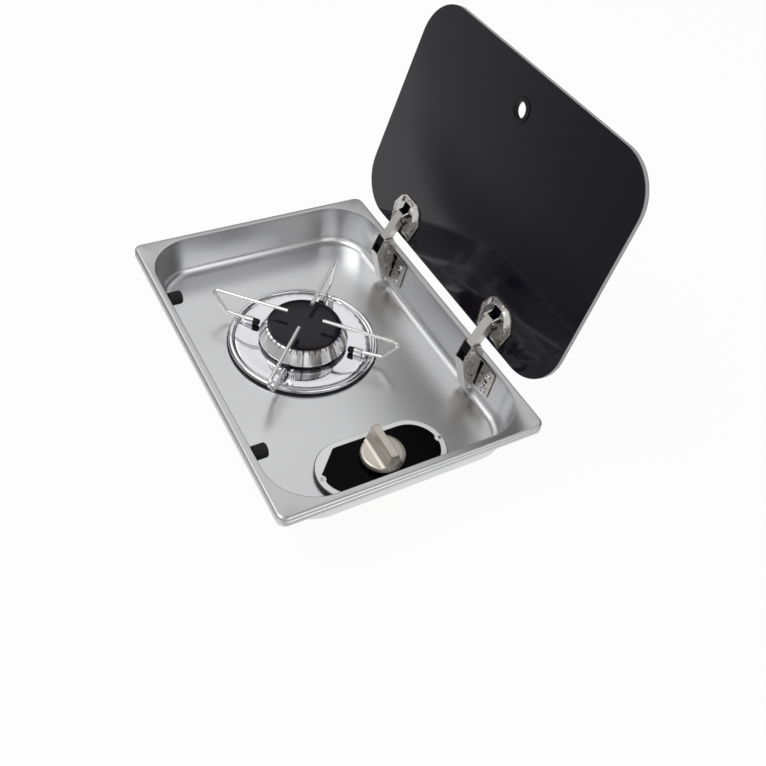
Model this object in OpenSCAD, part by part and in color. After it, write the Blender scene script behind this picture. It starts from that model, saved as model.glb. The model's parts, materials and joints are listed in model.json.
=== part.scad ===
// Drop-in single-burner gas hob with a folding black glass lid, in millimetres.
// X runs across the pan towards the hinges, Y runs from the knob to the back, Z is up.
// The origin is the middle of the pan, on the worktop that the turned-down rim stands on.

/* [Pan] */
// width of the rim, left to right
pan_w = 250; // [244:1:280]
// length of the rim, front to back
pan_d = 352; // [344:1:380]
// outer corner radius of the rim
rim_r = 8; // [5:0.5:12]
// width of the flat rim around the tray
rim_b = 7; // [6:0.5:10]
// height of the turned-down rim above the worktop
rim_h = 9; // [7:0.5:12]
// corner radius of the tray opening
tray_r = 45; // [38:1:50]
// depth of the tray below the rim top
tray_h = 40; // [39:0.5:44]
// how far the tray wall leans in from top to floor
wall_lean = 5; // [3:0.5:7]
// radius between the tray wall and floor
floor_r = 9; // [7:0.5:10]
// sheet thickness
sheet = 1; // [0.8:0.1:1.2]

/* [Burner] */
// burner centre across the pan
burner_x = -7; // [-12:1:0]
// burner centre along the pan
burner_y = 30.5; // [28:0.5:38]
// outer radius of the polished dish
dish_r = 71; // [68:0.5:74]
// lower radius of the flame crown
crown_r = 42.3; // [40:0.1:43]
// radius of the burner cap
cap_r = 35; // [32:0.5:36]
// flame slots round the crown
slot_n = 40; // [24:1:48]

/* [Pan supports] */
// thickness of the support wire
wire_d = 3.6; // [3:0.1:4]
// reach of a support from the burner centre
wire_tip = 92; // [88:1:94]
// free inner end of a support from the burner centre
wire_in = 17.5; // [14:0.5:22]
// drop from the rim top to the middle of the top wire
wire_drop = 7; // [6.5:0.1:9]

/* [Control] */
// control panel centre from the front of the rim
panel_in = 47.5; // [46:0.5:52]
// end radius of the control panel
panel_r = 31; // [29:0.5:31]
// distance between the end centres of the control panel
panel_l = 59; // [50:1:64]
// knob diameter
knob_d = 39.5; // [36:0.5:42]
// width of the finger ridge on the knob at its foot
ridge_w = 20; // [16:0.5:24]
// stem diameter
stem_d = 8; // [6:0.1:8]

/* [Lid] */
// gap between the closed lid and the long sides of the opening
lid_gap_x = 3.5; // [3:0.1:6]
// gap between the closed lid and the short sides of the opening
lid_gap_y = 6; // [4:0.5:9]
// lid corner radius
lid_r = 43; // [36:1:46]
// glass thickness
glass = 5; // [4:0.5:5]
// angle of the opened lid above level
lid_open = 75.7; // [75.7:0.1:75.7]
// finger hole centre to the free edge
hole_in = 38; // [30:1:45]
// inside diameter of the finger ring
hole_d = 16; // [14:0.5:20]
// distance of each lid buffer from the middle of the pan
buffer_y = 100; // [90:1:110]

/* [Hinges] */
// distance of each hinge from the middle of the pan
hinge_y = 82; // [78:1:86]
// outside width of the folding arm
arm_w = 13; // [12:0.5:15]
// cheek thickness of the folding arm
arm_t = 1.4; // [1:0.1:1.6]
// pivot pin diameter
pin_d = 3.5; // [3:0.1:4]
// width of the hinge plate on the lid
cup_w = 46; // [40:1:48]

/* [Gas] */
// outside diameter of the inlet tube
inlet_d = 8; // [8:1:10]
// outside diameter of the feed tube to the injector
feed_d = 6; // [5:0.5:6]
// depth of the tubes below the rim top
tube_drop = 53; // [52:0.5:56]

/* [Hidden] */
$fn = 48;
// radial clearance of a turning or sliding pin
run = 0.05;
// side clearance between moving cheeks
side = 0.35;
open_w = pan_w - 2 * rim_b;
open_d = pan_d - 2 * rim_b;
lid_w = open_w - 2 * lid_gap_x;
lid_d = open_d - 2 * lid_gap_y;
ztop = rim_h;
zfloor = ztop - tray_h;
floor_in = wall_lean + floor_r;
burn = [burner_x, burner_y];
panel_y = panel_in - pan_d / 2;
panel = [burner_x, panel_y];
// pale border of the control panel, and its screws from the middle
panel_b = 5;
screw_x = panel_l / 2 + panel_r - 3;
zdish = zfloor + 3.2;
// height of the dish above the tray floor at a radius, for what stands on it
function dish_top(r) = r > dish_r - 8 ? 2.95 + bead_r : lookup(r, [[46, 3.2], [dish_r - 8, 4]]);
// radius of the rolled rim of the dish
bead_r = 2.9;
// clear gap under what stands on the dish
stand = 0.07;
// inner and outer reach of a support saddle
clip_in = 51;
clip_out = 59;
// height of a support wire's lower leg at a radius, and its slope
leg_rise = 2.4 / 32.5;
function leg_z(r) = ztop - 32.6 + (r - wire_end) * leg_rise;
wire_end = 46.5;
clip_z = zfloor + dish_top(clip_out) + stand;
zknob = zfloor + 8.5;
ztube = ztop - tube_drop;
hx = pan_w / 2;
// pivots of the folding hinge, opened: wall pin, elbow pin and lid pin, as [x, z]
p1 = [hx - 17.5, ztop - 30.58];
p2 = [hx - 23.5, ztop + 13.5];
p3 = [hx - 7, ztop + 43];
// hinge-side lower edge of the opened lid
lid_e = [hx - 5.2, ztop + 19.7];
// lid pin in the lid's own frame, along the glass and off its underside
pin_s = 22.13;
pin_h = 7.5;
arm_in = arm_w / 2 - arm_t;
link_w = 2 * (arm_in - side);
ear_in = link_w / 2 + side;
// half height of the link, and its reach past each pin
link_h = 3.9;
wall_x = open_w / 2;
// how far the tray wall stands in from the opening edge at a depth
function lean(z) = 0.4 + (wall_lean - 0.4) * (z - 0.9) / (tray_h - floor_r - 0.9);
// wing of the hinge bracket on the wall: its thickness, lower edge and width
wing_t = 1.2;
wing_h = 30.5;
wing_w = 38;

// rounded rectangle
module rrect(w, d, r) {
  square([w - 2 * r, d], center = true);
  square([w, d - 2 * r], center = true);
  for (sx = [-1, 1], sy = [-1, 1]) translate([sx * (w / 2 - r), sy * (d / 2 - r)]) circle(r);
}

// profile carried round a rounded rectangle, x outwards from the path and y up
module around(w, d, r) {
  for (a = [0, 180]) {
    rotate(a) translate([w / 2, 0, 0]) rotate([90, 0, 0])
      linear_extrude(d - 2 * r, center = true) children();
    rotate(a + 90) translate([d / 2, 0, 0]) rotate([90, 0, 0])
      linear_extrude(w - 2 * r, center = true) children();
    rotate(a) translate([w / 2 - r, d / 2 - r, 0])
      rotate_extrude(angle = 90) translate([r, 0]) children();
    rotate(a + 90) translate([d / 2 - r, w / 2 - r, 0])
      rotate_extrude(angle = 90) translate([r, 0]) children();
  }
}

// flat outline in x and z, made w wide along y about the middle
module across(w) rotate([90, 0, 0]) linear_extrude(w, center = true) children();

// pin along y at a pivot
module pin_at(p, r, w) translate([p[0], 0, p[1]]) rotate([90, 0, 0]) cylinder(h = w, r = r, center = true);

// flat bar with round ends between two pivots
module bar(a, b, r) {
  d = b - a;
  l = norm(d);
  translate(a) circle(r);
  translate(b) circle(r);
  translate(a) rotate(atan2(d[1], d[0])) translate([0, -r]) square([l, 2 * r]);
}

function unit(v) = v / norm(v);
function turn(a, b) = atan2(a[0] * b[1] - a[1] * b[0], a[0] * b[0] + a[1] * b[1]);
function cut(pts, i, br) = (i == 0 || i == len(pts) - 1) ? 0
  : br * tan(abs(turn(pts[i] - pts[i - 1], pts[i + 1] - pts[i])) / 2);

// bent round bar through points in the x and y plane, with bends of radius br
// with e, each straight length runs on into its bend by e, and the bend is a hair thicker
module bent(pts, r, br, e = 0) {
  for (i = [0:len(pts) - 2]) {
    d = unit(pts[i + 1] - pts[i]);
    a = pts[i] + d * (cut(pts, i, br) - (i > 0 ? e : 0));
    b = pts[i + 1] - d * (cut(pts, i + 1, br) - (i < len(pts) - 2 ? e : 0));
    translate([a[0], a[1], 0]) rotate([0, 90, atan2(d[1], d[0])]) cylinder(h = norm(b - a), r = r, $fn = 20);
  }
  for (i = [1:1:len(pts) - 2]) {
    d1 = unit(pts[i] - pts[i - 1]);
    t = turn(d1, pts[i + 1] - pts[i]);
    s = t > 0 ? 1 : -1;
    c = pts[i] - d1 * cut(pts, i, br) + [-d1[1], d1[0]] * s * br;
    translate([c[0], c[1], 0]) rotate(atan2(d1[1], d1[0]) - s * 90 + (s < 0 ? t : 0))
      rotate_extrude(angle = abs(t), $fn = 48) translate([br, 0]) circle(r + e / 10, $fn = 20);
  }
}

// the lid's own frame: x along the glass from the hinge edge, z off the underside
module on_lid() translate([lid_e[0], 0, lid_e[1]]) rotate([0, -lid_open, 0]) children();

// pressed stainless tray with a flat rim and a turned-down, beaded edge
module pan() color([0.74, 0.74, 0.74]) {
  arc = [for (a = [0:10:90]) [-floor_in + floor_r * cos(a), -tray_h + floor_r - floor_r * sin(a)]];
  arc_out = [for (a = [90:-10:0]) [-floor_in + (floor_r + sheet) * cos(a),
    -tray_h + floor_r - (floor_r + sheet) * sin(a)]];
  translate([0, 0, ztop]) {
    around(open_w, open_d, tray_r)
      polygon(concat([[0.6, 0], [-0.2, -0.3], [-0.4, -0.9]], arc, arc_out, [[0.6, -sheet]]));
    translate([0, 0, -sheet]) linear_extrude(sheet) difference() {
      rrect(pan_w - 5, pan_d - 5, rim_r - 2.5);
      rrect(open_w + 1.2, open_d + 1.2, tray_r + 0.6);
    }
    around(pan_w - 5, pan_d - 5, rim_r - 2.5)
      polygon([[0, 0], [1.1, -0.3], [2, -1], [2.4, -1.8], [2.5, -2.6], [2.3, -3.4], [1.7, -4.1],
        [1.7, -4.7], [2.3, -5.3], [2.5, -6.2], [2.5, -rim_h], [1.4, -rim_h], [1.4, -6],
        [0.7, -4.9], [0.7, -3.9], [1.4, -3], [1.3, -2.2], [0.8, -1.4], [0, -sheet]]);
    translate([0, 0, -tray_h - sheet]) linear_extrude(sheet) difference() {
      rrect(open_w - 2 * floor_in, open_d - 2 * floor_in, tray_r - floor_in);
      translate(burn) circle(30);
      translate(panel) circle(stem_d / 2 + 1);
    }
  }
}

// rubber ring between the dish and the tray floor
module burner_gasket() color([0.05, 0.05, 0.05]) translate([burner_x, burner_y, zfloor])
  rotate_extrude($fn = 72) translate([dish_r - 10, 0]) square([11, 2]);

// polished dish with a rolled rim, round the burner
module burner_dish() color([0.85, 0.85, 0.86]) translate([burner_x, burner_y, zfloor])
  rotate_extrude($fn = 72) polygon(concat([[30, 3.2], [46, 3.2], [dish_r - 8, 4], [dish_r - 6.6, 3.5]],
    [for (a = [160:-20:0]) [dish_r - bead_r + bead_r * cos(a), 2.95 + bead_r * sin(a)]],
    [[dish_r - 0.8, 2], [dish_r - 5, 2], [dish_r - 6.2, 2.6], [dish_r - 8, 3], [46, 2.2], [30, 2.2]]));

// cast mixing cup of the burner, clamped under the tray floor
module burner_body() color([0.6, 0.6, 0.6]) translate([burner_x, burner_y, zfloor]) {
  rotate_extrude() polygon([[0, -30], [20, -30], [28, -24], [28, -3.4], [38, -3.4], [38, -sheet],
    [28, -sheet], [28, 3.2], [24, 3.2], [24, -20], [18, -26], [0, -26]]);
  difference() {
    translate([0, -26, ztube - zfloor]) rotate([90, 0, 0]) cylinder(h = 12, r = 9);
    translate([0, -20, ztube - zfloor]) rotate([90, 0, 0]) cylinder(h = 20, r = 5);
  }
}

// brass jet nipple that blows gas into the mixing cup
module injector() color([0.72, 0.56, 0.28]) translate([burner_x, burner_y - 38, ztube]) rotate([90, 0, 0]) {
  difference() {
    union() {
      translate([0, 0, -4]) cylinder(h = 4, r = 4);
      cylinder(h = 9, r = 7, $fn = 6);
    }
    translate([0, 0, 1]) cylinder(h = 9, r = feed_d / 2 + 0.02);
  }
}

// dark seating ring in the gap under the crown
module burner_ring() color([0.07, 0.07, 0.07]) translate([burner_x, burner_y, zdish])
  rotate_extrude($fn = 72) translate([28.5, 0]) square([10, 3.7]);

// polished flame crown, a hollow cone with slots under the cap
module burner_crown() color([0.86, 0.86, 0.87]) translate([burner_x, burner_y, zfloor]) difference() {
  rotate_extrude($fn = 72) polygon([[20, 3.2], [27, 3.2], [27, 7], [crown_r - 0.8, 7], [crown_r, 7.6],
    [crown_r, 8.4], [cap_r + 1.2, 19.8], [cap_r - 1.5, 21], [20, 21], [20, 19], [cap_r - 2, 18],
    [crown_r - 4, 9.2], [25, 9.2], [23, 12], [20, 12]]);
  for (i = [0:slot_n - 1]) rotate(i * 360 / slot_n)
    translate([cap_r - 5, -0.5, 17.6]) cube([8, 1, 5]);
}

// black enamelled burner cap
module burner_cap() color([0.03, 0.03, 0.035]) translate([burner_x, burner_y, zfloor + 21])
  rotate_extrude($fn = 72) polygon([[0, 0], [cap_r - 0.8, 0], [cap_r, 0.6], [cap_r - 0.1, 1.3],
    [cap_r - 1, 1.9], [cap_r - 6, 2.6], [cap_r - 14, 3.1], [0, 3.4]]);

// one bent wire that carries the pot, drawn along x
module support_wire() rotate([90, 0, 0])
  bent([[wire_in, ztop - wire_drop], [wire_tip + 3, ztop - wire_drop],
    [79, leg_z(79)], [wire_end, leg_z(wire_end)]], wire_d / 2, 4, 0.3);
module support_at(a) color([0.84, 0.84, 0.85]) translate([burner_x, burner_y, 0]) rotate(a) support_wire();
module pan_support_front_left() support_at(225);
module pan_support_front_right() support_at(315);
module pan_support_rear_left() support_at(135);
module pan_support_rear_right() support_at(45);

// bright saddles that hold the support wires on the dish
module support_clips() color([0.8, 0.8, 0.81]) for (a = [45, 135, 225, 315])
  translate([burner_x, burner_y, 0]) rotate(a) difference() {
    union() {
      translate([clip_in, -3, clip_z]) cube([clip_out - clip_in, 6, ztop - 32 - clip_z]);
      translate([clip_in, 0, ztop - 32]) rotate([0, 90, 0])
        cylinder(h = clip_out - clip_in, r = min(3.3, ztop - 32 - clip_z), $fn = 24);
    }
    translate([50, 0, leg_z(50)]) rotate([0, 90 - atan(leg_rise), 0]) cylinder(h = 20, r = wire_d / 2 + run, $fn = 24);
  }

// black bushes on the inner ends of the support wires
module support_bushes() color([0.04, 0.04, 0.04]) for (a = [45, 135, 225, 315])
  translate([burner_x, burner_y, 0]) rotate(a) translate([clip_in - 0.3, 0, leg_z(clip_in - 0.3)])
    rotate([0, 270 - atan(leg_rise), 0]) rotate_extrude($fn = 24) polygon([[wire_d / 2 + run, 0], [3.1, 0],
      [3.1, 4.4], [2.2, 5.7], [0, 5.7], [0, 4.6], [wire_d / 2 + run, 4.6]]);

// flame sensor standing on the dish
module thermocouple() color([0.7, 0.66, 0.6]) translate([burner_x - 33.5, burner_y - 46.1, zfloor + dish_top(60.5) + stand]) {
  cylinder(h = 2, r = 3.5, $fn = 6);
  cylinder(h = 9, r = 2.2, $fn = 24);
  cylinder(h = 13, r = 1.3, $fn = 24);
}

// spark pin in a white ceramic sleeve, standing on the dish
module spark_electrode() color([0.9, 0.9, 0.86]) translate([burner_x + 45.3, burner_y + 32.9, zfloor + dish_top(58.8) + stand]) {
  cylinder(h = 8, r = 2.8, $fn = 24);
  cylinder(h = 13, r = 1, $fn = 24);
}

module stadium(r, l) {
  square([l, 2 * r], center = true);
  for (s = [-1, 1]) translate([s * l / 2, 0]) circle(r, $fn = 72);
}

// black spacer under the control panel
module control_base() color([0.03, 0.03, 0.03]) translate([panel[0], panel[1], zfloor]) {
  linear_extrude(3) difference() {
    stadium(panel_r - 8, panel_l);
    circle(stem_d / 2 + 0.6);
  }
  translate([0, 0, 3]) linear_extrude(1) difference() {
    stadium(panel_r + 0.8, panel_l);
    circle(stem_d / 2 + 0.6);
  }
}

// pale printed control plate
module control_panel() color([0.82, 0.82, 0.82]) translate([panel[0], panel[1], zfloor + 4])
  linear_extrude(1) difference() {
    stadium(panel_r, panel_l);
    circle(stem_d / 2 + 0.6);
  }

// black field printed on the control plate
module panel_inlay() color([0.02, 0.02, 0.02]) translate([panel[0], panel[1], zfloor + 5])
  linear_extrude(0.2) difference() {
    stadium(panel_r - panel_b, panel_l);
    polygon([[-panel_l / 2 - panel_r, panel_b], [-panel_l / 2 - panel_r + panel_b + 1, panel_b],
      [-panel_l / 2, panel_r], [-panel_l / 2 - panel_r, panel_r]]);
    for (s = [-1, 1]) translate([s * screw_x, 0]) circle(4);
    circle(stem_d / 2 + 0.6);
  }

// small screws at the ends of the control plate
module panel_screws() color([0.8, 0.8, 0.8]) for (s = [-1, 1])
  translate([panel[0] + s * screw_x, panel[1], zfloor + 5])
    cylinder(h = 0.8, r = 1.8, $fn = 24);

// satin knob, a disc with a finger ridge
module knob() color([0.66, 0.62, 0.56]) translate([panel[0], panel[1], zknob]) difference() {
  union() {
    rotate_extrude($fn = 72) polygon([[0, 0], [knob_d / 2 - 0.6, 0], [knob_d / 2, 0.6],
      [knob_d / 2 - 0.2, 3.8], [knob_d / 2 - 0.8, 4.7], [knob_d / 2 - 2, 5.2], [0, 5.6]]);
    intersection() {
      rotate_extrude($fn = 72) polygon([[0, 0.5], [knob_d / 2 - 0.3, 0.5], [knob_d / 2 - 0.6, 17],
        [knob_d / 2 - 1.4, 19.2], [knob_d / 2 - 3, 20], [0, 20]]);
      rotate([90, 0, 0]) linear_extrude(knob_d, center = true)
        polygon([[-ridge_w / 2, 1], [ridge_w / 2, 1], [ridge_w / 2, 5.4], [ridge_w / 2 - 2.6, 7.2],
          [4.6, 13], [3.6, 19.2], [2.8, 20], [-2.8, 20], [-3.6, 19.2], [-4.6, 13],
          [-ridge_w / 2 + 2.6, 7.2], [-ridge_w / 2, 5.4]]);
    }
  }
  translate([0, 0, -1]) cylinder(h = 13, r = stem_d / 2 + 0.02);
}

// stem that the knob is pushed on
module tap_stem() color([0.7, 0.6, 0.35]) translate([panel[0], panel[1], zfloor - 11])
  cylinder(h = 30.9, r = stem_d / 2);

// turning plug of the tap
module tap_plug() color([0.7, 0.6, 0.35]) translate([panel[0], panel[1], zfloor - 21]) difference() {
  cylinder(h = 17, r = stem_d / 2 + 3);
  translate([0, 0, 6]) cylinder(h = 20, r = stem_d / 2 + run);
}

// tap housing screwed under the tray floor
module tap_body() color([0.75, 0.65, 0.4]) translate([panel[0], panel[1], zfloor - 24]) difference() {
  union() {
    translate([-15, -17, 0]) cube([30, 34, 24 - sheet]);
    translate([0, 0, ztube - zfloor + 24]) rotate([-90, 0, 0]) cylinder(h = 22, r = 6);
    translate([0, 0, ztube - zfloor + 24]) rotate([0, -90, 0]) cylinder(h = 20, r = 7);
  }
  translate([0, 0, 2.9]) cylinder(h = 40, r = stem_d / 2 + 3 + run);
  translate([0, 17, ztube - zfloor + 24]) rotate([-90, 0, 0]) cylinder(h = 22, r = feed_d / 2 + 0.02);
  translate([-17, 0, ztube - zfloor + 24]) rotate([0, -90, 0]) cylinder(h = 22, r = inlet_d / 2 + 0.02);
}

// thin tube from the tap to the injector
module feed_tube() color([0.72, 0.45, 0.3]) translate([panel[0], panel[1] + 17, ztube]) rotate([-90, 0, 0])
  difference() {
    cylinder(h = burner_y - 39.2 - panel_y - 17, r = feed_d / 2);
    translate([0, 0, -1]) cylinder(h = 400, r = feed_d / 2 - 1);
  }

// gas inlet tube under the tray, its open end at the back
module inlet_tube() color([0.75, 0.75, 0.76]) translate([0, 0, ztube]) difference() {
  bent([[panel[0] - 17, panel[1]], [panel[0] - 58, panel[1]], [panel[0] - 58, 150]], inlet_d / 2, 16);
  bent([[panel[0] - 16, panel[1]], [panel[0] - 58, panel[1]], [panel[0] - 58, 151]], inlet_d / 2 - 1, 16);
}

// union nuts on the tap
module tube_nuts() color([0.75, 0.65, 0.4]) {
  translate([panel[0], panel[1] + 22.1, ztube]) rotate([-90, 0, 0]) difference() {
    cylinder(h = 9, r = 7.5, $fn = 6);
    translate([0, 0, -1]) cylinder(h = 12, r = feed_d / 2 + 0.02);
  }
  translate([panel[0] - 20.1, panel[1], ztube]) rotate([0, -90, 0]) difference() {
    cylinder(h = 10, r = 9, $fn = 6);
    translate([0, 0, -1]) cylinder(h = 12, r = inlet_d / 2 + 0.02);
  }
}

// toughened black glass of the lid
module lid_glass() color([0.015, 0.015, 0.018]) on_lid() translate([lid_w / 2, 0, -glass])
  linear_extrude(glass) difference() {
    rrect(lid_w, lid_d, lid_r);
    translate([lid_w / 2 - hole_in, 0]) circle(hole_d / 2 + 2.5);
  }

// black rubber ring in the finger hole
module lid_grommet() color([0.03, 0.03, 0.03]) on_lid() translate([lid_w - hole_in, 0, -glass / 2])
  rotate_extrude() {
    translate([hole_d / 2, -glass / 2 - 1]) square([2.5, glass + 2]);
    for (s = [-1, 1]) translate([hole_d / 2 + 2.4, s * (glass / 2 + 0.5) - 0.5]) square([2.1, 1]);
  }

// soft stops on the tray wall that the closed lid rests on
module lid_buffers() color([0.03, 0.03, 0.03]) for (s = [-1, 1])
  translate([-wall_x + lean(16.8) + 0.05, s * buffer_y, ztop - 10.3]) rotate([0, 90, 0]) {
    cylinder(h = 11, r = 6.4, $fn = 36);
    translate([0, 0, 10.9]) cylinder(h = 1.2, r1 = 6.4, r2 = 5.4, $fn = 36);
  }

// fixed hinge bracket on the tray wall, drawn at the middle of the pan
module bracket(s) color([0.78, 0.78, 0.79]) {
  x1 = wall_x - lean(2) - 0.1;
  x2 = wall_x - lean(wing_h) - 0.1;
  difference() {
    union() {
      intersection() {
        translate([0, s * 8, 0]) across(wing_w)
          polygon([[x1, ztop - 2], [x1 - wing_t, ztop - 2], [x2 - wing_t, ztop - wing_h], [x2, ztop - wing_h]]);
        translate([wall_x, s * 8, ztop - (wing_h + 2) / 2]) rotate([0, -90, 0])
          linear_extrude(20) offset(delta = 3, chamfer = true) square([wing_h - 8, wing_w - 6], center = true);
      }
      across(link_w) bar(p1, [x2 - 4.2, ztop - wing_h + 4.5], 4);
    }
    pin_at(p1, pin_d / 2 + run, 40);
    translate([x2 - 8, s * 19 - 2, ztop - 17]) cube([20, 4, 4]);
    translate([x2 - 8, s * 19, ztop - 20.3]) rotate([0, 90, 0]) cylinder(h = 20, r = 1.2, $fn = 24);
  }
}
module front_hinge_bracket() translate([0, -hinge_y, 0]) bracket(-1);
module rear_hinge_bracket() translate([0, hinge_y, 0]) bracket(-1);

// folding channel arm, two cheeks and a spine
module arm() color([0.8, 0.8, 0.81]) difference() {
  union() {
    for (s = [-1, 1]) translate([0, s * (arm_w - arm_t) / 2, 0]) across(arm_t) {
      polygon([[p1[0] - 5, p1[1] - 3.4], [p1[0] - 14.5, p1[1] + 33.6], [p2[0] - 2.5, p2[1] + 7],
        [p2[0] + 8.5, p2[1] + 7], [p2[0] + 13, p2[1] - 4.5], [p1[0] + 3, p1[1]]]);
      translate(p1) circle(3.6);
    }
    across(arm_w - 1) polygon([[p1[0] - 5, p1[1] - 3.4], [p1[0] - 14.5, p1[1] + 33.6],
      [p1[0] - 13, p1[1] + 33.9], [p1[0] - 4.4, p1[1] + 0.6]]);
  }
  pin_at(p1, pin_d / 2 + 0.02, 40);
  pin_at(p2, pin_d / 2 + 0.02, 40);
  across(link_w + 0.2) translate(p1) circle(4.4);
  for (f = [0.3, 0.62]) pin_at(p1 + f * (p2 - p1) + [1.5, 0], 1.5, 40);
}
module front_hinge_arm() translate([0, -hinge_y, 0]) arm();
module rear_hinge_arm() translate([0, hinge_y, 0]) arm();

// channel link between the arm and the lid
module link() color([0.84, 0.83, 0.81]) difference() {
  union() {
    d = p3 - p2;
    translate([p2[0], 0, p2[1]]) rotate([0, -atan2(d[1], d[0]), 0]) {
      for (s = [-1, 1]) translate([0, s * (link_w - 1.4) / 2, 0]) across(1.4)
        translate([-link_h, -link_h]) square([norm(d) + 2 * link_h, 2 * link_h]);
      translate([-link_h, -link_w / 2, link_h - 1.3]) cube([norm(d) + 2 * link_h, link_w, 1.3]);
    }
  }
  pin_at(p2, pin_d / 2 + run, 40);
  pin_at(p3, pin_d / 2 + run, 40);
}
module front_hinge_link() translate([0, -hinge_y, 0]) link();
module rear_hinge_link() translate([0, hinge_y, 0]) link();

// eight-sided outline of the hinge plate, along the glass from its hinge edge
module cup_outline() polygon([[3, -cup_w / 2 + 5], [24, -cup_w / 2], [36, -cup_w / 2 + 6], [41, -10], [41, 10],
  [36, cup_w / 2 - 6], [24, cup_w / 2], [3, cup_w / 2 - 5]]);

// chrome plate clamped to the glass, a shallow raised cup with two ears for the link
module lid_plate() color([0.8, 0.8, 0.81]) on_lid() difference() {
  union() {
    difference() {
      union() {
        linear_extrude(1.6) cup_outline();
        translate([pin_s, 0, 1.5]) linear_extrude(2.9, scale = 0.74) translate([-pin_s, 0])
          offset(delta = -1.2) cup_outline();
      }
      translate([2, -ear_in, -1]) cube([34, 2 * ear_in, 8]);
    }
    for (s = [-1, 1]) translate([0, s * (ear_in + 0.8), 0]) across(1.6) {
      translate([pin_s, pin_h]) circle(4.5);
      translate([pin_s - 7, 2]) square([14, 3]);
      polygon([[pin_s - 7, 4.9], [pin_s + 7, 4.9], [pin_s + 4, pin_h + 2], [pin_s - 4, pin_h + 2]]);
    }
  }
  translate([pin_s, 0, pin_h]) rotate([90, 0, 0]) cylinder(h = 40, r = pin_d / 2 + 0.02, center = true);
}
module front_lid_plate() translate([0, -hinge_y, 0]) lid_plate();
module rear_lid_plate() translate([0, hinge_y, 0]) lid_plate();

// pins of the folding arms
module arm_pins() color([0.6, 0.6, 0.6]) for (s = [-1, 1]) translate([0, s * hinge_y, 0]) {
  for (p = [p1, p2]) {
    pin_at(p, pin_d / 2, arm_w + 1);
    for (e = [-1, 1]) translate([0, e * (arm_w / 2 + 0.42), 0]) pin_at(p, pin_d / 2 + 1, 0.8);
  }
}

// pins of the lid plates
module lid_pins() color([0.6, 0.6, 0.6]) for (s = [-1, 1]) translate([0, s * hinge_y, 0])
{
  pin_at(p3, pin_d / 2, 2 * ear_in + 4);
  for (e = [-1, 1]) translate([0, e * (ear_in + 2.05), 0]) pin_at(p3, pin_d / 2 + 1.4, 0.8);
}

// screws that hold the brackets on the tray wall
module hinge_screws() color([0.8, 0.8, 0.8]) for (s = [-1, 1], z = [9.5, 26.5])
  translate([wall_x - lean(z) - 0.15 - wing_t, s * hinge_y - 19, ztop - z])
    rotate([0, -90 + atan((wall_lean - 0.4) / (tray_h - floor_r - 0.9)), 0])
      cylinder(h = 1.6, r1 = 3.2, r2 = 2.4, $fn = 24);

// clamp plates on the outer face of the glass
module lid_back_plates() color([0.05, 0.05, 0.05]) on_lid() for (s = [-1, 1])
  translate([22, s * hinge_y, -glass - 1.6]) cylinder(h = 1.6, r = 17);

pan();
burner_gasket();
burner_dish();
burner_body();
injector();
burner_ring();
burner_crown();
burner_cap();
pan_support_front_left();
pan_support_front_right();
pan_support_rear_left();
pan_support_rear_right();
support_clips();
support_bushes();
thermocouple();
spark_electrode();
control_base();
control_panel();
panel_inlay();
panel_screws();
knob();
tap_stem();
tap_plug();
tap_body();
feed_tube();
inlet_tube();
tube_nuts();
lid_glass();
lid_grommet();
lid_buffers();
front_hinge_bracket();
rear_hinge_bracket();
front_hinge_arm();
rear_hinge_arm();
front_hinge_link();
rear_hinge_link();
front_lid_plate();
rear_lid_plate();
arm_pins();
lid_pins();
hinge_screws();
lid_back_plates();
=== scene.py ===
import json
import math
import bpy
from mathutils import Euler, Matrix, Vector


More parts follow.
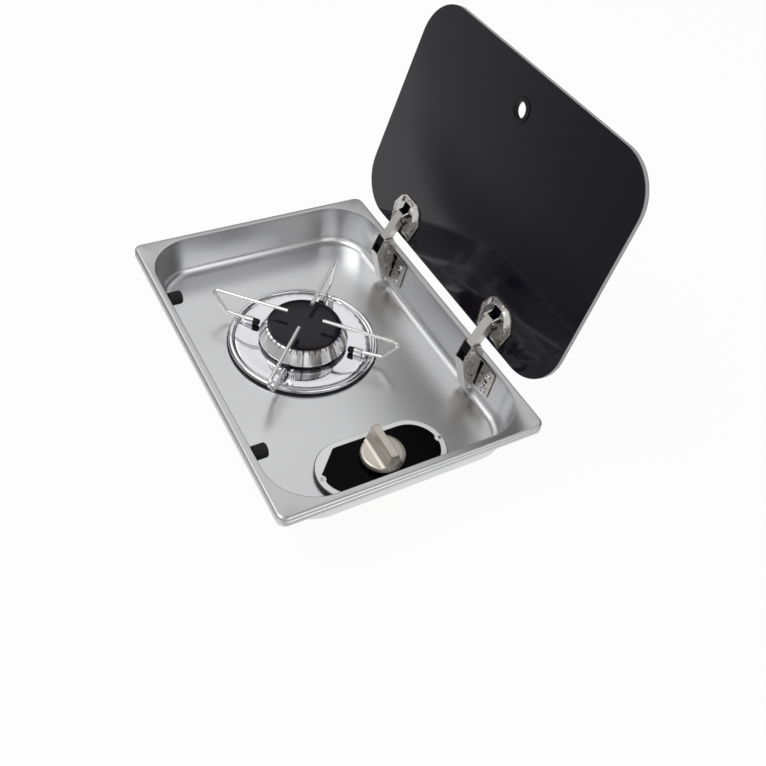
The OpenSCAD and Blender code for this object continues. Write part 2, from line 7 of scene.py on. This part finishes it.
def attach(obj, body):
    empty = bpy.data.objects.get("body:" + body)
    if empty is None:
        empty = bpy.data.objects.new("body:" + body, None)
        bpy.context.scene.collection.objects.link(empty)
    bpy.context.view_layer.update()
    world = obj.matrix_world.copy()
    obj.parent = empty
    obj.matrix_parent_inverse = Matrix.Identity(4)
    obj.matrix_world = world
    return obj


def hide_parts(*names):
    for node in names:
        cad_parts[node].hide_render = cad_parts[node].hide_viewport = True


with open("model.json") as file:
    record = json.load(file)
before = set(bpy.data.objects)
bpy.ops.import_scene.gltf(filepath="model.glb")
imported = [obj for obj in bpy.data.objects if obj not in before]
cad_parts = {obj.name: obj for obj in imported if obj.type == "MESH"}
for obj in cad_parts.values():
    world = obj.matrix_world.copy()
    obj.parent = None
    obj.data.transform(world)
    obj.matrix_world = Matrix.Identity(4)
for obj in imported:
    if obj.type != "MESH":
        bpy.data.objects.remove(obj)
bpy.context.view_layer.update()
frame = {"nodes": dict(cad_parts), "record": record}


# Studio: a pale floor and sky, three soft area lamps and a camera at the photograph's angle.
# The floor lies clear below the hob, which hangs by its rim in a worktop cut-out.
# Parts of the floor and sky are darker in reflections alone, as with dark flags beside a set.
class Tone:
    """A shader socket that takes part in sums like a number, each sum adding its Math node."""

    def __init__(self, tree, socket=None):
        self.tree = tree
        self.socket = socket

    def make(self, kind, settings=None, inputs=None, out=0):
        node = self.tree.nodes.new(kind)
        for key, value in (settings or {}).items():
            setattr(node, key, value)
        for key, value in (inputs or {}).items():
            if isinstance(value, Tone):
                self.tree.links.new(value.socket, node.inputs[key])
            else:
                node.inputs[key].default_value = value
        return Tone(self.tree, node.outputs[out] if node.outputs else None)

    def combine(self, operation, first, second=0.0):
        return self.make("ShaderNodeMath", {"operation": operation}, {0: first, 1: second})

    def __add__(self, other):
        return self.combine("ADD", self, other)

    def __radd__(self, other):
        return self.combine("ADD", other, self)

    def __sub__(self, other):
        return self.combine("SUBTRACT", self, other)

    def __rsub__(self, other):
        return self.combine("SUBTRACT", other, self)

    def __mul__(self, other):
        return self.combine("MULTIPLY", self, other)

    def __rmul__(self, other):
        return self.combine("MULTIPLY", other, self)

    def __truediv__(self, other):
        return self.combine("DIVIDE", self, other)

    def __rtruediv__(self, other):
        return self.combine("DIVIDE", other, self)

    def __abs__(self):
        return self.combine("ABSOLUTE", self)

    def below(self, level):
        return self.combine("LESS_THAN", self, level)

    def larger(self, other):
        return self.combine("MAXIMUM", self, other)

    def ease(self, low, high):
        """Rises smoothly from 0 at low to 1 at high."""
        limits = {"Value": self, "From Min": low, "From Max": high}
        return self.make("ShaderNodeMapRange", {"interpolation_type": "SMOOTHSTEP"}, limits)


def axis_of(place, axis):
    return place.make("ShaderNodeSeparateXYZ", inputs={0: place}, out=axis)


def seen_rays(start):
    """One for what is seen straight, in a mirror or through glass, and zero for the light that falls."""
    seen = start.make("ShaderNodeLightPath", out="Is Camera Ray")
    for kind in ("Is Glossy Ray", "Is Transmission Ray"):
        seen = seen.larger(start.make("ShaderNodeLightPath", out=kind))
    return seen


scene = bpy.context.scene
scene.view_settings.view_transform = "Standard"

# Matte surfaces take the sky's even light. Mirrors see a ceiling that is brighter to the rear, a
# bright left wall, and a low bright band at the front left with two dark flags before it.
sky_light = 0.52
dark_sky = 0.06
ceiling_front, ceiling_rise = 0.62, 0.36
zenith_loss = 0.75
left_wall = 0.5
near_x, near_y = -0.585, -0.811
band_dark, band_bright = 0.08, 0.85
left_flag, right_flag = 0.02, 0.5
world = bpy.data.worlds.new("studio_sky")
scene.world = world
world.use_nodes = True
world.node_tree.nodes.clear()
start = Tone(world.node_tree)
seen = seen_rays(start)
mirrored = start.make("ShaderNodeLightPath", out="Is Glossy Ray")
aim = start.make("ShaderNodeTexCoord", out="Generated")
across, along, up = (axis_of(aim, axis) for axis in "XYZ")
ceiling = up.ease(0.42, 0.72) * (1 - up.ease(0.8, 0.97) * zenith_loss)
glow = dark_sky + ceiling * (ceiling_front + along.ease(-0.2, 0.7) * ceiling_rise)
glow = glow + (0 - across).ease(0.5, 0.9) * left_wall
sideways = along * near_x - across * near_y
flags = abs(sideways - left_flag).ease(0.05, 0.11) * abs(sideways - right_flag).ease(0.05, 0.12)
nearside = (across * near_x + along * near_y).ease(-0.2, 0.3)
glow = glow.larger(band_dark + nearside * flags * (1 - up.ease(0.46, 0.62)) * band_bright)
level = seen * (1 - mirrored) + mirrored * glow + (1 - seen) * sky_light
shine = start.make("ShaderNodeBackground", inputs={"Color": level})
start.make("ShaderNodeOutputWorld", inputs={"Surface": shine})

# The floor is white to the eye and keeps the shadow. Mirrors see it dark at the left, brighter
# towards the rear and with distance, and with one dark strip in front of the hob.
floor_size = 6
floor_height = -0.066
floor_white = 0.94
left_tone, rear_rise, rear_white = 0.22, 0.36, 0.95
near_share = 0.5
least_left = 0.05
strip_loss = 0.7
bpy.ops.object.select_all(action="DESELECT")
bpy.ops.mesh.primitive_plane_add(size=floor_size, location=(0, 0, floor_height))
floor = bpy.context.object
floor.name = "studio_floor"
bpy.ops.object.transform_apply()
paint = bpy.data.materials.new("floor_paint")
paint.use_nodes = True
paint.node_tree.nodes.clear()
start = Tone(paint.node_tree)
matte = start.make("ShaderNodeBsdfDiffuse", inputs={"Color": (0.9, 0.9, 0.9, 1)})
spot = start.make("ShaderNodeTexCoord", out="Object")
leftward = 0 - axis_of(spot, "X")
rearward = axis_of(spot, "Y")
forward = 0 - rearward
slant = rearward / leftward.larger(least_left)
far = near_share + leftward.ease(0.3, 0.7) * (1 - near_share)
lit = (left_tone + slant.ease(0.5, 1.4) * rear_rise) * far + slant.ease(1.3, 2.0) * rear_white
front_strip = forward.ease(0.222, 0.245) * (1 - forward.ease(0.3, 0.45)) * strip_loss
mirrored = start.make("ShaderNodeLightPath", out="Is Glossy Ray")
dimmed = mirrored * (leftward.ease(0.2, 0.3) * (1 - lit)).larger(front_strip)
white = start.make("ShaderNodeEmission", inputs={"Color": 1 - dimmed})
seen = seen_rays(start)
both = start.make("ShaderNodeMixShader", inputs={0: seen * floor_white, 1: matte, 2: white})
start.make("ShaderNodeOutputMaterial", inputs={"Surface": both})
floor.data.materials.append(paint)

# Each lamp's place, width and power.
lamp_target = Vector((0, 0, 0.05))
lamps = {
    "lamp_key": (Vector((-0.75, 0.15, 1.25)), 0.9, 6),
    "lamp_fill": (Vector((0.2, -1.2, 0.9)), 1.0, 2.5),
    "lamp_rear": (Vector((-0.4, 1.3, 0.9)), 0.9, 1.6),
}
for name, (place, size, power) in lamps.items():
    lamp = bpy.data.objects.new(name, bpy.data.lights.new(name, "AREA"))
    scene.collection.objects.link(lamp)
    lamp.data.size = size
    lamp.data.energy = power
    lamp.location = place
    lamp.rotation_euler = (lamp_target - place).to_track_quat("-Z", "Y").to_euler()

photo_px = 766
focal_px = 997.75
shift_px = Vector((-22, -124.5))
azimuth, elevation, roll = (math.radians(angle) for angle in (-35.78, 38.5, 9.93))
camera_target = Vector((0.12017, 0.06517, 0.009))
camera_distance = 1.01368
flat = math.cos(elevation)
backward = Vector((math.sin(azimuth) * flat, -math.cos(azimuth) * flat, math.sin(elevation)))
level_right = Vector((math.cos(azimuth), math.sin(azimuth), 0))
level_up = backward.cross(level_right)
right = level_right * math.cos(roll) + level_up * math.sin(roll)
upward = level_up * math.cos(roll) - level_right * math.sin(roll)
camera = bpy.data.objects.new("photo_camera", bpy.data.cameras.new("photo_camera"))
scene.collection.objects.link(camera)
scene.camera = camera
turned = Matrix((right, upward, backward)).transposed().to_4x4()
camera.matrix_world = Matrix.Translation(camera_target + backward * camera_distance) @ turned
camera.data.sensor_width = 36
camera.data.lens = focal_px / photo_px * camera.data.sensor_width
camera.data.shift_x = shift_px.x / photo_px
camera.data.shift_y = shift_px.y / photo_px
camera.data.clip_start = 0.05


# Tray: one sheet of stainless steel, pressed with a flat rim and a turned-down beaded edge.
# It hangs by that rim in the worktop. The finish is satin, with faint cloudy patches,
# and the flat rim is a little darker than the inside.
def new_finish(name, colour, metallic=0.0):
    """A new material, its shader and the place on the piece that its patterns read."""
    finish = bpy.data.materials.new(name)
    finish.use_nodes = True
    shader = finish.node_tree.nodes["Principled BSDF"]
    shader.inputs["Base Color"].default_value = (*colour, 1)
    shader.inputs["Metallic"].default_value = metallic
    place = Tone(finish.node_tree).make("ShaderNodeTexCoord", out="Object")
    return finish, shader, place


def feed(shader, socket, tone):
    shader.id_data.links.new(tone.socket, shader.inputs[socket])


def noise(place, scale, detail=2.0):
    return place.make("ShaderNodeTexNoise", inputs={"Vector": place, "Scale": scale, "Detail": detail})


def vary_gloss(shader, place, low, spread, scale, detail=2.0):
    """Lets the roughness of a finish wander from place to place, up from a low value."""
    feed(shader, "Roughness", low + noise(place, scale, detail) * spread)


def two_tone(shader, mask, other):
    """Changes a finish from its own colour to another one where a mask is one."""
    factor, first, second, result = 0, 6, 7, 2
    own = tuple(shader.inputs["Base Color"].default_value)
    sockets = {factor: mask, first: own, second: (*other, 1)}
    feed(shader, "Base Color", mask.make("ShaderNodeMix", {"data_type": "RGBA"}, sockets, out=result))


bodies = frame["record"]["behaviour"]["bodies"]
body_of = {node: body for body, nodes in bodies.items() for node in nodes}


def dress(node, name, finish, edge=0.0, smooth_below=28, segments=2):
    """A merged, smooth copy of a CAD node with softened edges, in its place."""
    weld_gap = 2e-6
    soften_above = 40
    piece = bpy.data.objects.new(name, frame["nodes"][node].data.copy())
    scene.collection.objects.link(piece)
    bpy.ops.object.select_all(action="DESELECT")
    bpy.context.view_layer.objects.active = piece
    piece.select_set(True)
    if piece.data.has_custom_normals:
        bpy.ops.mesh.customdata_custom_splitnormals_clear()
    bpy.ops.object.mode_set(mode="EDIT")
    bpy.ops.mesh.select_all(action="SELECT")
    bpy.ops.mesh.remove_doubles(threshold=weld_gap)
    bpy.ops.object.mode_set(mode="OBJECT")
    if edge:
        bevel = piece.modifiers.new("edge", "BEVEL")
        bevel.width = edge
        bevel.segments = segments
        bevel.limit_method = "ANGLE"
        bevel.angle_limit = math.radians(soften_above)
        bpy.ops.object.modifier_apply(modifier="edge")
    bpy.ops.object.shade_smooth_by_angle(angle=math.radians(smooth_below))
    level = piece.modifiers.new("level", "WEIGHTED_NORMAL")
    level.keep_sharp = True
    bpy.ops.object.modifier_apply(modifier="level")
    piece.data.materials.clear()
    piece.data.materials.append(finish)
    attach(piece, body_of[node])
    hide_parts(node)
    return piece


rim_low, rim_high = 0.004, 0.0085
tray_steel, shader, place = new_finish("tray_steel", (0.68, 0.682, 0.69), metallic=1.0)
vary_gloss(shader, place, low=0.245, spread=0.09, scale=9)
two_tone(shader, axis_of(place, "Z").ease(rim_low, rim_high), (0.58, 0.58, 0.585))
dress("pan", "tray_sheet", tray_steel)


# Burner seat: a black rubber ring that seals the hole in the tray floor, and a dish on top of it.
# The dish is spun from steel with a rolled rim and polished to a mirror.
def relief(shader, height, strength, distance):
    bump = {"Strength": strength, "Distance": distance, "Height": height}
    feed(shader, "Normal", height.make("ShaderNodeBump", inputs=bump))


def set_specular(shader, amount):
    shader.inputs["Specular IOR Level"].default_value = amount


rubber, shader, place = new_finish("black_rubber", (0.007, 0.007, 0.008))
set_specular(shader, 0.3)
relief(shader, noise(place, scale=900, detail=3), strength=0.15, distance=0.0003)
vary_gloss(shader, place, low=0.5, spread=0.2, scale=120)
dress("burner_gasket", "burner_seal", rubber, edge=0.0006)
mirror_steel, shader, place = new_finish("mirror_steel", (0.73, 0.73, 0.755), metallic=1.0)
vary_gloss(shader, place, low=0.04, spread=0.06, scale=60, detail=3)
dress("burner_dish", "burner_bowl", mirror_steel)


# Burner: a cast aluminium mixing cup with a brass jet hangs under the floor. Above it are an
# enamelled ring, a polished aluminium crown with milled flame slots and an enamelled cap.
# They only stand on each other, so that they can be cleaned once the supports are off.
def middle_of(piece):
    """The middle of an object's box."""
    corners = [Vector(corner) for corner in piece.bound_box]
    return sum(corners, Vector()) / len(corners)


cast, shader, place = new_finish("cast_aluminium", (0.55, 0.55, 0.55), metallic=1.0)
relief(shader, noise(place, scale=700, detail=4), strength=0.3, distance=0.0004)
vary_gloss(shader, place, low=0.42, spread=0.2, scale=40)
dress("burner_body", "mixing_cup", cast, edge=0.0005)

enamel, shader, place = new_finish("black_enamel", (0.008, 0.006, 0.011))
set_specular(shader, 0.26)
relief(shader, noise(place, scale=900, detail=3), strength=0.04, distance=0.0002)
vary_gloss(shader, place, low=0.12, spread=0.08, scale=80)
dress("burner_ring", "crown_ring", enamel)

slot_wall = 0.7
crown_middle = middle_of(frame["nodes"]["burner_crown"])
crown_metal, shader, place = new_finish("crown_metal", (0.95, 0.95, 0.96), metallic=0.5)
about_axis = {"Vector": place, "Location": (-crown_middle.x, -crown_middle.y, 0), "Scale": (1, 1, 0)}
outward = place.make("ShaderNodeMapping", inputs=about_axis)
outward = place.make("ShaderNodeVectorMath", {"operation": "NORMALIZE"}, {0: outward})
# Dark streaks painted round the crown stand for dark surroundings reflected in its polished metal.
painted_reflection_streak = noise(outward, scale=5.5, detail=1).ease(0.53, 0.6)
two_tone(shader, painted_reflection_streak, (0.3, 0.285, 0.27))
vary_gloss(shader, place, low=0.07, spread=0.08, scale=70, detail=3)
crown = dress("burner_crown", "flame_crown", crown_metal)
crown.data.materials.append(enamel)
# The walls of the flame slots take the black enamel as painted shade inside the narrow slots.
for face in crown.data.polygons:
    spoke = (face.center - crown_middle).xy.normalized()
    if abs(face.normal.y * spoke.x - face.normal.x * spoke.y) > slot_wall:
        face.material_index = 1
dress("burner_cap", "flame_cap", enamel)

brass, shader, place = new_finish("turned_brass", (0.62, 0.47, 0.22), metallic=1.0)
vary_gloss(shader, place, low=0.22, spread=0.16, scale=150, detail=3)
dress("injector", "jet", brass, edge=0.0003)


# Pan supports: four bent wires of bright-plated steel that hold a pan over the flame.
# A small polished saddle holds each on the dish, and a black rubber bush closes its inner end.
wire_plate, shader, place = new_finish("wire_plate", (0.92, 0.915, 0.905), metallic=0.8)
vary_gloss(shader, place, low=0.12, spread=0.1, scale=200)
for corner in ("front_left", "front_right", "rear_left", "rear_right"):
    dress("pan_support_" + corner, "support_wire_" + corner, wire_plate, smooth_below=50)
dress("support_clips", "support_saddles", mirror_steel, edge=0.0005)
dress("support_bushes", "support_sleeves", rubber, edge=0.0004)


# Flame sensor and spark pin: a thin metal probe that senses the flame, and a pin in a sleeve of
# white glazed ceramic that lights it. Both stand on the dish beside the crown.
dress("thermocouple", "flame_probe", mirror_steel, edge=0.0002)
ceramic, shader, place = new_finish("white_ceramic", (0.82, 0.81, 0.77))
vary_gloss(shader, place, low=0.2, spread=0.12, scale=120)
dress("spark_electrode", "spark_sleeve", ceramic, edge=0.0003)


# Control plate: a pale printed metal plate with a black printed field, on a black moulded spacer.
# Two small polished cross-head screws hold it, one at each end.
moulded, shader, place = new_finish("black_moulding", (0.015, 0.015, 0.016))
shader.inputs["Roughness"].default_value = 0.45
relief(shader, noise(place, scale=1100, detail=3), strength=0.12, distance=0.0002)
dress("control_base", "plate_spacer", moulded, edge=0.0004)
plate_print, shader, place = new_finish("plate_print", (0.86, 0.865, 0.86), metallic=0.1)
vary_gloss(shader, place, low=0.3, spread=0.1, scale=90)
dress("control_panel", "plate", plate_print, edge=0.0002)
field_ink, shader, place = new_finish("field_ink", (0.0018, 0.0016, 0.0022))
set_specular(shader, 0.04)
vary_gloss(shader, place, low=0.17, spread=0.1, scale=60)
dress("panel_inlay", "plate_field", field_ink)


def cross_cut(piece, axis, reach, span):
    """Cuts a cross recess into the head of each loose screw, and gives its faces the black moulding as
    painted shade.
    """
    width_share, depth_share = 0.22, 0.5
    bpy.ops.object.select_all(action="DESELECT")
    loose = piece.copy()
    loose.data = piece.data.copy()
    scene.collection.objects.link(loose)
    bpy.context.view_layer.objects.active = loose
    loose.select_set(True)
    bpy.ops.mesh.separate(type="LOOSE")
    heads = [middle_of(screw) + axis * reach for screw in bpy.context.selected_objects]
    bpy.ops.object.delete()
    bars = []
    for head in heads:
        for turn in (45, 135):
            bpy.ops.mesh.primitive_cube_add(size=1, location=head)
            bar = bpy.context.object
            twist = Euler((0, 0, math.radians(turn))).to_quaternion()
            bar.rotation_euler = (axis.to_track_quat("Z", "Y") @ twist).to_euler()
            bar.scale = (span, span * width_share, span * depth_share)
            bars.append(bar)
    bpy.ops.object.select_all(action="DESELECT")
    for bar in bars:
        bar.select_set(True)
    bpy.context.view_layer.objects.active = bars[0]
    bpy.ops.object.join()
    cutter = bpy.context.object
    # The recess faces take the black moulding as painted shade inside the cross.
    cutter.data.materials.append(moulded)
    bpy.ops.object.select_all(action="DESELECT")
    bpy.context.view_layer.objects.active = piece
    piece.select_set(True)
    cut = piece.modifiers.new("recess", "BOOLEAN")
    cut.object = cutter
    cut.operation = "DIFFERENCE"
    cut.use_self = True
    cut.material_mode = "TRANSFER"
    bpy.ops.object.modifier_apply(modifier="recess")
    bpy.data.objects.remove(cutter)


plate_screws = dress("panel_screws", "plate_screws", mirror_steel, edge=0.0003)
cross_cut(plate_screws, Vector((0, 0, 1)), reach=0.0004, span=0.0022)


# Knob: a moulded disc with a finger ridge, lacquered in satin nickel.
# It is pushed on the brass stem of the tap, and moves in and turns with it.
nickel, shader, place = new_finish("satin_nickel", (0.68, 0.635, 0.57), metallic=0.85)
vary_gloss(shader, place, low=0.32, spread=0.1, scale=400, detail=3)
relief(shader, noise(place, scale=1500), strength=0.05, distance=0.0002)
dress("knob", "control_knob", nickel, edge=0.0008, smooth_below=35, segments=3)
dress("tap_stem", "stem", brass, edge=0.0003)


# Tap and tubes: a brass tap under the tray floor, a copper tube from it to the jet, and an inlet
# tube of bright steel. Brass union nuts hold the tubes, and none of it shows from above.
dress("tap_plug", "tap_core", brass, edge=0.0003)
dress("tap_body", "tap_housing", brass, edge=0.0006)
copper, shader, place = new_finish("drawn_copper", (0.62, 0.33, 0.2), metallic=1.0)
vary_gloss(shader, place, low=0.25, spread=0.2, scale=90, detail=3)
dress("feed_tube", "jet_tube", copper)
dress("inlet_tube", "supply_tube", wire_plate)
dress("tube_nuts", "union_nuts", brass, edge=0.0004)


# Lid: a sheet of toughened black glass with a pale ground edge and a rubber ring in its finger hole.
# Two rubber stops on the tray wall lie under it when it is closed, and two moulded discs on its
# outer face clamp the hinges.
def along_way(place, way):
    """How far a place lies along a direction."""
    ends = {0: place, 1: tuple(way)}
    return place.make("ShaderNodeVectorMath", {"operation": "DOT_PRODUCT"}, ends, out="Value")


ground_inset = 0.00055
pane_rough, pane_spread, ground_rough = 0.05, 0.03, 0.4
sheet = frame["nodes"]["lid_glass"].data
off_lid = max(sheet.polygons, key=lambda face: face.area).normal.copy()
depths = [corner.co.dot(off_lid) for corner in sheet.vertices]
sheet_middle = (max(depths) + min(depths)) / 2
half_sheet = (max(depths) - min(depths)) / 2
black_glass, shader, place = new_finish("black_glass", (0.006, 0.005, 0.009))
set_specular(shader, 0.42)
ground = abs(along_way(place, off_lid) - sheet_middle).below(half_sheet - ground_inset)
two_tone(shader, ground, (0.42, 0.43, 0.43))
feed(shader, "Roughness", pane_rough + noise(place, scale=14) * pane_spread + ground * ground_rough)
dress("lid_glass", "lid_pane", black_glass, edge=0.0005)
dress("lid_grommet", "finger_ring", rubber, edge=0.0004)
dress("lid_buffers", "lid_stops", rubber, edge=0.0005)
dress("lid_back_plates", "clamp_discs", moulded, edge=0.0005)


# Hinges: two sets of chromed steel stampings, each a wall bracket, a folding channel arm, a box
# link and a bevelled cup on the glass, joined by rivets and screwed to the tray wall.
# The insides of the arms, links and cups and the foot of each link are painted black as the shade in the
# channels.
# The cut edges of the wall brackets are black, partly as bare steel and partly as painted shadow.
shade_foot_length = 0.005
joints = {joint["name"]: joint for joint in frame["record"]["behaviour"]["joints"]}
elbow = Vector(joints["lid_fold"]["pos_m"])
link_way = (Vector(joints["lid_tilt"]["pos_m"]) - elbow).normalized()
chrome, shader, place = new_finish("hinge_chrome", (0.56, 0.545, 0.52), metallic=1.0)
vary_gloss(shader, place, low=0.08, spread=0.12, scale=140, detail=3)
relief(shader, noise(place, scale=240, detail=3), strength=0.5, distance=0.0008)
satin_plate, shader, place = new_finish("satin_plate", (0.74, 0.725, 0.69), metallic=1.0)
# The foot of each link is painted black as the shade that falls on it inside the arm's channel.
painted_shade_foot = (along_way(place, link_way) - elbow.dot(link_way)).below(shade_foot_length)
two_tone(shader, painted_shade_foot, (0.02, 0.02, 0.02))
vary_gloss(shader, place, low=0.28, spread=0.14, scale=160, detail=3)
# This black stands for painted shade inside the channels and cups, and on the brackets' cut edges partly
# for bare steel and partly for painted shadow.
shade_and_cut_edge_black, shader, place = new_finish("shade_and_cut_edge_black", (0.012, 0.011, 0.011), metallic=0.3)
vary_gloss(shader, place, low=0.38, spread=0.2, scale=300, detail=3)


def blacken(piece, middle, picked):
    """Paints black, as shade or as bare cut edge, the faces of a stamping that a test on normal and
    offset picks.
    """
    piece.data.materials.append(shade_and_cut_edge_black)
    for face in piece.data.polygons:
        if picked(face.normal, face.center.y - middle):
            face.material_index = 1


sideways_from, wallward_from, edge_below = 0.9, 0.5, 0.35
bracket_cheek = 0.0075
arm_inside = 0.0055
link_inside = 0.0036
cup_inside = 0.012
wall_tilt = math.radians(8.7)
off_wall = Vector((-math.cos(wall_tilt), 0, math.sin(wall_tilt)))


def faces_sideways(normal):
    return abs(normal.y) > sideways_from


def faces_in(normal, offset):
    """Whether a face of a channel looks to the tray wall or to the channel's own middle."""
    return normal.x > wallward_from or (faces_sideways(normal) and offset * normal.y < 0)


# The bracket wings' cut edges: black partly as bare steel, partly as painted shadow.
def on_bracket(normal, offset):
    return abs(normal.dot(off_wall)) < edge_below and abs(offset) > bracket_cheek


def on_arm(normal, offset):
    return faces_in(normal, offset) and abs(offset) < arm_inside


def on_link(normal, offset):
    return faces_in(normal, offset) and abs(offset) < link_inside


def on_cup(normal, offset):
    return faces_sideways(normal) and abs(offset) < cup_inside


for side in ("front", "rear"):
    middle = middle_of(frame["nodes"][side + "_hinge_arm"]).y
    bracket = dress(side + "_hinge_bracket", side + "_wall_bracket", chrome, edge=0.0003)
    blacken(bracket, middle, on_bracket)
    arm = dress(side + "_hinge_arm", side + "_fold_arm", chrome, edge=0.0003)
    blacken(arm, middle, on_arm)
    link = dress(side + "_hinge_link", side + "_fold_link", satin_plate, edge=0.0003)
    blacken(link, middle, on_link)
    cup = dress(side + "_lid_plate", side + "_glass_plate", chrome, edge=0.0005)
    blacken(cup, middle, on_cup)
dress("arm_pins", "arm_rivets", mirror_steel, edge=0.0003)
dress("lid_pins", "plate_rivets", mirror_steel, edge=0.0003)
bracket_screws = dress("hinge_screws", "bracket_screws", mirror_steel, edge=0.0003)
cross_cut(bracket_screws, off_wall, reach=0.0008, span=0.003)
